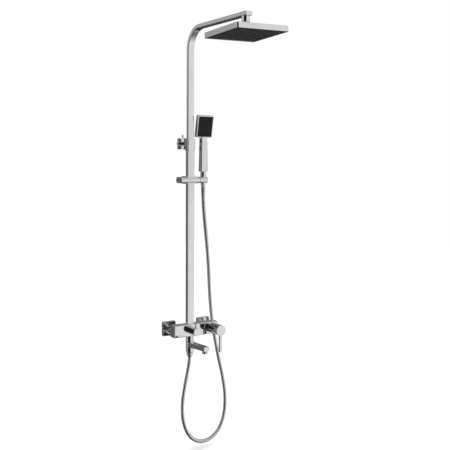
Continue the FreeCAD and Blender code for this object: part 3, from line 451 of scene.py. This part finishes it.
# The hose stays with the mixer below the bar and goes over to the slider on its way up.
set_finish(hose, "hose_steel")
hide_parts("shower_hose")
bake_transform(hose)


# ---------------------------------------------------------------- materials

BEVEL_SAMPLES = 4


def math_node(tree, operation, *values):
    """The result of a sum on numbers or on other nodes' outputs."""
    node = tree.nodes.new("ShaderNodeMath")
    node.operation = operation
    for socket, value in zip(node.inputs, values):
        if isinstance(value, (int, float)):
            socket.default_value = value
        else:
            tree.links.new(value, socket)
    return node.outputs[0]


def fill_ramp(node, *stops):
    """Sets a colour ramp's stops, each as (position, grey or colour)."""
    elements = node.color_ramp.elements
    while len(elements) < len(stops):
        elements.new(0.5)
    for element, (position, colour) in zip(elements, stops):
        element.position = position
        shade = (colour,) * 3 if isinstance(colour, (int, float)) else colour
        element.color = (*shade, 1)


def blend_node(tree, factor, one, two):
    """The mix of two colours by a factor."""
    node = tree.nodes.new("ShaderNodeMix")
    node.data_type = "RGBA"
    for socket, source in (("Factor", factor), ("A", one), ("B", two)):
        tree.links.new(source, node.inputs[socket])
    return node.outputs["Result"]


class Finish:
    """A material under construction: its shader, and short words for the nodes that feed it."""

    def __init__(self, name, **sockets):
        self.material = bpy.data.materials.new(name)
        self.material.use_nodes = True
        self.tree = self.material.node_tree
        self.nodes = self.tree.nodes
        self.shader = self.nodes["Principled BSDF"]
        for socket, value in sockets.items():
            self.shader.inputs[socket.replace("_", " ")].default_value = value
        self.place = self.nodes.new("ShaderNodeTexCoord").outputs["Object"]

    def link(self, source, node, socket):
        self.tree.links.new(source, node.inputs[socket])

    def noise(self, scale, detail=3.0, rough=0.55, stretch=None):
        """Noise whose features are about 1 / scale metres across."""
        where = self.place
        if stretch:
            mapping = self.nodes.new("ShaderNodeMapping")
            mapping.inputs["Scale"].default_value = stretch
            self.link(where, mapping, "Vector")
            where = mapping.outputs["Vector"]
        node = self.nodes.new("ShaderNodeTexNoise")
        self.link(where, node, "Vector")
        node.inputs["Scale"].default_value = scale
        node.inputs["Detail"].default_value = detail
        node.inputs["Roughness"].default_value = rough
        return node.outputs["Fac"]

    def spots(self, scale):
        """Distance to the nearest of scattered points, for water spots and pits."""
        node = self.nodes.new("ShaderNodeTexVoronoi")
        node.inputs["Scale"].default_value = scale
        self.link(self.place, node, "Vector")
        return node.outputs["Distance"]

    def span(self, source, low, high, to_low, to_high):
        """Maps the values from low to high smoothly onto those from to_low to to_high."""
        node = self.nodes.new("ShaderNodeMapRange")
        node.interpolation_type = "SMOOTHSTEP"
        self.link(source, node, "Value")
        for socket, value in (("From Min", low), ("From Max", high), ("To Min", to_low),
                              ("To Max", to_high)):
            node.inputs[socket].default_value = value
        return node.outputs["Result"]

    def math(self, operation, one, two):
        return math_node(self.tree, operation, one, two)

    def colours(self, source, *stops):
        node = self.nodes.new("ShaderNodeValToRGB")
        fill_ramp(node, *stops)
        self.link(source, node, "Fac")
        return node.outputs["Color"]

    def mixed(self, factor, one, two):
        return blend_node(self.tree, factor, one, two)

    def rounded(self, radius):
        """The normal that the surface would have with its edges rounded."""
        bevel = self.nodes.new("ShaderNodeBevel")
        bevel.samples = BEVEL_SAMPLES
        bevel.inputs["Radius"].default_value = radius
        return bevel.outputs["Normal"]

    def edges(self, radius):
        """0 on a face and up to 1 on an edge, from how far the edge would be rounded."""
        geometry = self.nodes.new("ShaderNodeNewGeometry")
        dot = self.nodes.new("ShaderNodeVectorMath")
        dot.operation = "DOT_PRODUCT"
        self.link(self.rounded(radius), dot, 0)
        self.link(geometry.outputs["Normal"], dot, 1)
        return self.span(dot.outputs["Value"], 0.75, 0.99, 1.0, 0.0)

    def bump(self, height, distance, strength=1.0, soft_edges=0.0):
        """Feeds the shader's normal with bump, and with rounded edges where soft_edges is set."""
        node = self.nodes.new("ShaderNodeBump")
        node.inputs["Distance"].default_value = distance
        node.inputs["Strength"].default_value = strength
        self.link(height, node, "Height")
        if soft_edges:
            self.link(self.rounded(soft_edges), node, "Normal")
        self.link(node.outputs["Normal"], self.shader, "Normal")

    def feed(self, socket, source):
        self.link(source, self.shader, socket)


def chrome():
    """Bright chrome plate: faint polish ripple, dried water spots, a fine haze of wiping marks."""
    f = Finish("chrome_plate", Metallic=1.0)
    cloud = f.noise(22, 4)
    spots = f.span(f.spots(210), 0.10, 0.22, 1.0, 0.0)
    rare = f.span(f.noise(60, 2), 0.62, 0.70, 0.0, 1.0)
    marks = f.math("MULTIPLY", spots, rare)
    base = f.colours(cloud, (0.30, (0.86, 0.865, 0.87)), (0.70, (0.93, 0.932, 0.935)))
    dull = f.colours(cloud, (0.0, (0.72, 0.725, 0.73)), (1.0, (0.78, 0.785, 0.79)))
    f.feed("Base Color", f.mixed(marks, base, dull))
    wiping = f.noise(400, 2, stretch=(1, 1, 0.06))
    rough = f.math("ADD", f.span(cloud, 0.35, 0.75, 0.035, 0.085),
                   f.span(wiping, 0.5, 0.8, 0.0, 0.03))
    f.feed("Roughness", f.math("ADD", rough, f.math("MULTIPLY", marks, 0.12)))
    f.bump(f.noise(140, 2), 0.00005, 0.25, soft_edges=0.0005)
    return f.material


def brass():
    """Cast and turned brass, dull between its machined faces."""
    f = Finish("brass_body", Metallic=1.0)
    tarnish = f.noise(70, 5)
    turning = f.noise(900, 2, stretch=(0.1, 0.1, 1))
    f.feed("Base Color", f.colours(tarnish, (0.25, (0.42, 0.28, 0.10)), (0.5, (0.62, 0.45, 0.18)),
                                   (0.8, (0.74, 0.56, 0.27))))
    f.feed("Roughness", f.span(tarnish, 0.3, 0.8, 0.45, 0.22))
    f.bump(turning, 0.00008, 0.4, soft_edges=0.0003)
    return f.material


def steel():
    """Stainless steel with a drawn grain."""
    f = Finish("stainless_steel", Metallic=1.0)
    grain = f.noise(1200, 3, stretch=(0.05, 1, 1))
    cloud = f.noise(50, 3)
    f.feed("Base Color", f.colours(cloud, (0.3, (0.50, 0.50, 0.49)), (0.7, (0.62, 0.62, 0.61))))
    f.feed("Roughness", f.span(grain, 0.3, 0.7, 0.18, 0.36))
    f.bump(grain, 0.00004, 0.5, soft_edges=0.0003)
    return f.material


def hose_steel():
    """The wound strip: bright on each turn, with painted shade in the lock between two turns."""
    f = Finish("hose_strip", Metallic=1.0)
    lock = f.nodes.new("ShaderNodeAttribute")
    lock.attribute_name = "groove"
    cloud = f.noise(90, 3)
    strip = f.colours(cloud, (0.3, (0.86, 0.865, 0.87)), (0.7, (0.94, 0.943, 0.945)))
    # Painted shade: the base colour goes near black down in the lock, for the shade that falls
    # there.
    groove_painted_shade = f.colours(cloud, (0.3, (0.05, 0.05, 0.05)), (0.7, (0.13, 0.13, 0.13)))
    depth = f.span(lock.outputs["Fac"], 0.25, 0.9, 0.0, 1.0)
    f.feed("Base Color", f.mixed(depth, strip, groove_painted_shade))
    f.feed("Roughness", f.math("ADD", f.span(cloud, 0.3, 0.7, 0.06, 0.11),
                               f.math("MULTIPLY", depth, 0.3)))
    f.bump(f.noise(500, 2), 0.00003, 0.2)
    return f.material


def moulded(name, dark, light, rough, grain, depth, shine=0.5):
    """Moulded plastic or rubber with a fine grain, and a painted highlight a little lighter along
    its edges.
    dark and light are its colours, grain and depth the scale and height of its texture."""
    f = Finish(name, Metallic=0.0, Specular_IOR_Level=shine)
    cloud = f.noise(35, 4)
    skin = f.noise(grain, 3)
    # Painted highlight: a lighter colour along the edges, in patches, for the light that edges
    # catch.
    edge_highlight_mask = f.edges(0.0006)
    body = f.colours(cloud, (0.3, dark), (0.75, light))
    painted_edge_highlight = f.colours(skin, (0.3, tuple(1.5 * c for c in light)),
                       (0.7, tuple(2.2 * c for c in light)))
    f.feed("Base Color", f.mixed(f.math("MULTIPLY", edge_highlight_mask, f.span(cloud, 0.4, 0.7, 0.1, 0.6)),
                                 body, painted_edge_highlight))
    f.feed("Roughness", f.math("ADD", f.span(cloud, 0.3, 0.7, rough, rough + 0.12),
                               f.span(skin, 0.3, 0.7, -0.04, 0.05)))
    f.bump(skin, depth, 0.6, soft_edges=0.0004)
    return f.material


MATERIALS = {
    "chrome": chrome(),
    "brass": brass(),
    "steel": steel(),
    "hose_steel": hose_steel(),
    "black_plastic": moulded("black_plastic_satin", (0.010, 0.010, 0.011), (0.020, 0.020, 0.021),
                             0.30, 1500, 0.00005),
    "silicone": moulded("silicone_nozzle", (0.060, 0.060, 0.063), (0.100, 0.100, 0.104),
                        0.50, 1900, 0.00004),
    "rubber": moulded("rubber_seal", (0.012, 0.012, 0.012), (0.025, 0.024, 0.023),
                      0.62, 1300, 0.00008),
    "nylon": moulded("nylon_bush", (0.55, 0.54, 0.50), (0.68, 0.67, 0.63), 0.38, 1100, 0.00005),
}

# The handset's spray face is a flatter black than the other mouldings.
OWN_MATERIALS = {
    "handset_face": moulded("spray_face_matt", (0.005, 0.005, 0.005), (0.009, 0.009, 0.009),
                            0.42, 1500, 0.00005, shine=0.2),
}


def dress(piece, material):
    """Gives a piece one material, in place of any it has."""
    piece.data.materials.clear()
    piece.data.materials.append(material)


for row in frame["record"]["subparts"]:
    dress(NODES[row["node"]], OWN_MATERIALS.get(row["node"], MATERIALS[row["material_slot"]]))
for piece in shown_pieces():
    if piece.name not in NODES:
        dress(piece, MATERIALS[piece["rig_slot"]])


# ---------------------------------------------------------------- room and light

# What the chrome mirrors: a soft studio, as grey levels by direction. Each band is an elevation
# with (azimuth from +Y towards +X, level) stops: a wide white card to the right of the camera,
# a narrow one to its left, black behind the camera, two paler cards at the back and a pale roof.
CARDS = {
    -70: [(0, 0.03), (360, 0.03)],
    -30: [(0, 0.42), (14, 0.40), (20, 0.03), (40, 0.03), (48, 0.45), (95, 0.55), (118, 0.78),
          (153, 0.78), (164, 0.04), (262, 0.05), (274, 0.35), (298, 0.35), (314, 0.12),
          (338, 0.10), (350, 0.40), (360, 0.42)],
    -10: [(0, 0.42), (14, 0.38), (20, 0.04), (41, 0.05), (49, 0.45), (84, 0.45), (102, 0.76),
          (184, 0.74), (190, 0.01), (263, 0.01), (274, 0.55), (299, 0.55), (314, 0.12),
          (340, 0.10), (350, 0.40), (360, 0.42)],
    0: [(0, 0.36), (14, 0.32), (21, 0.05), (41, 0.05), (50, 0.38), (84, 0.42), (102, 0.70),
        (184, 0.70), (190, 0.01), (262, 0.01), (273, 0.60), (300, 0.60), (314, 0.13),
        (340, 0.12), (350, 0.34), (360, 0.36)],
    10: [(0, 0.24), (13, 0.20), (22, 0.06), (38, 0.17), (50, 0.35), (84, 0.40), (102, 0.74),
         (183, 0.74), (190, 0.01), (260, 0.01), (272, 0.60), (300, 0.60), (314, 0.42),
         (338, 0.42), (350, 0.24), (360, 0.24)],
    18: [(0, 0.10), (22, 0.05), (29, 0.42), (44, 0.42), (54, 0.30), (84, 0.34), (102, 0.68),
         (182, 0.68), (190, 0.01), (258, 0.01), (272, 0.50), (298, 0.50), (312, 0.20),
         (350, 0.10), (360, 0.10)],
    26: [(0, 0.06), (28, 0.10), (46, 0.12), (62, 0.18), (104, 0.58), (181, 0.58), (197, 0.01),
         (256, 0.01), (270, 0.40), (292, 0.40), (308, 0.05), (360, 0.06)],
    40: [(0, 0.08), (60, 0.16), (120, 0.47), (180, 0.42), (240, 0.05), (300, 0.28), (360, 0.08)],
    60: [(0, 0.50), (60, 0.52), (120, 0.58), (180, 0.52), (240, 0.48), (300, 0.48), (360, 0.50)],
    75: [(0, 0.62), (360, 0.62)],
}

FLOOR_HALF = 6.0             # half its side
FLOOR_GAP = 0.02             # from it up to the hose's lowest point


def make_world():
    """The cards as the world's light, behind a plain white that only the camera sees."""
    world = bpy.data.worlds.new("studio")
    world.use_nodes = True
    bpy.context.scene.world = world
    tree = world.node_tree
    nodes, links = tree.nodes, tree.links
    nodes.clear()

    way = nodes.new("ShaderNodeTexCoord").outputs["Generated"]
    parts = nodes.new("ShaderNodeSeparateXYZ")
    links.new(way, parts.inputs[0])
    azimuth = math_node(tree, "ARCTAN2", parts.outputs["X"], parts.outputs["Y"])
    turns = math_node(tree, "DIVIDE", azimuth, 2 * math.pi)
    turn = math_node(tree, "FRACT", math_node(tree, "ADD", turns, 1.0))
    level = math_node(tree, "ARCSINE", parts.outputs["Z"])
    shade = None
    for (elevation, stops), before in zip(CARDS.items(), [None, *CARDS]):
        ramp = nodes.new("ShaderNodeValToRGB")
        ramp.color_ramp.interpolation = "EASE"
        fill_ramp(ramp, *((degrees / 360, grey) for degrees, grey in stops))
        links.new(turn, ramp.inputs["Fac"])
        if shade is None:
            shade = ramp.outputs["Color"]
            continue
        share = nodes.new("ShaderNodeMapRange")
        share.inputs["From Min"].default_value = math.radians(before)
        share.inputs["From Max"].default_value = math.radians(elevation)
        links.new(level, share.inputs["Value"])
        shade = blend_node(tree, share.outputs["Result"], shade, ramp.outputs["Color"])
    cards = nodes.new("ShaderNodeBackground")
    links.new(shade, cards.inputs["Color"])
    backdrop = nodes.new("ShaderNodeBackground")
    backdrop.inputs["Color"].default_value = (1, 1, 1, 1)
    seen = nodes.new("ShaderNodeLightPath")
    choose = nodes.new("ShaderNodeMixShader")
    links.new(seen.outputs["Is Camera Ray"], choose.inputs["Fac"])
    links.new(cards.outputs[0], choose.inputs[1])
    links.new(backdrop.outputs[0], choose.inputs[2])
    out = nodes.new("ShaderNodeOutputWorld")
    links.new(choose.outputs[0], out.inputs["Surface"])


def make_floor():
    """A plain pale floor below the hose's loop. The chrome mirrors the cards, not the floor."""
    level = CAD_BOX[0][2] - FLOOR_GAP
    mesh = bpy.data.meshes.new("floor")
    corners = [(x * FLOOR_HALF, y * FLOOR_HALF, level)
               for x, y in ((-1, -1), (1, -1), (1, 1), (-1, 1))]
    mesh.from_pydata(corners, [], [(0, 1, 2, 3)])
    floor = bpy.data.objects.new("floor", mesh)
    bpy.context.scene.collection.objects.link(floor)
    f = Finish("floor_matt", Roughness=0.9)
    f.feed("Base Color", f.colours(f.noise(3, 5), (0.3, 0.93), (0.7, 0.95)))
    f.bump(f.noise(300, 2), 0.0002, 0.2)
    floor.data.materials.append(f.material)
    floor.visible_glossy = False


def make_lamp(name, kind, at, aim, power, **settings):
    """A soft lamp that lights but isn't mirrored: the chrome mirrors the cards alone.
    power is in watts, or for a sun in watts per square metre."""
    data = bpy.data.lights.new(name, kind)
    data.energy = power
    for setting, value in settings.items():
        setattr(data, setting, value)
    lamp = bpy.data.objects.new(name, data)
    bpy.context.scene.collection.objects.link(lamp)
    lamp.location = at
    lamp.rotation_mode = "QUATERNION"
    lamp.rotation_quaternion = (Vector(aim) - Vector(at)).to_track_quat("-Z", "Y")
    lamp.visible_glossy = False


make_world()
make_floor()
make_lamp("overhead", "SUN", at=(0.6, -1.2, 4.2), aim=(0, -0.2, 0), power=2.95,
          angle=math.radians(80))
make_lamp("low_front", "AREA", at=(1.2, -2.2, -0.1), aim=(0, -0.3, 0.9), power=30, size=1.2)
bpy.context.scene.view_settings.view_transform = "Standard"
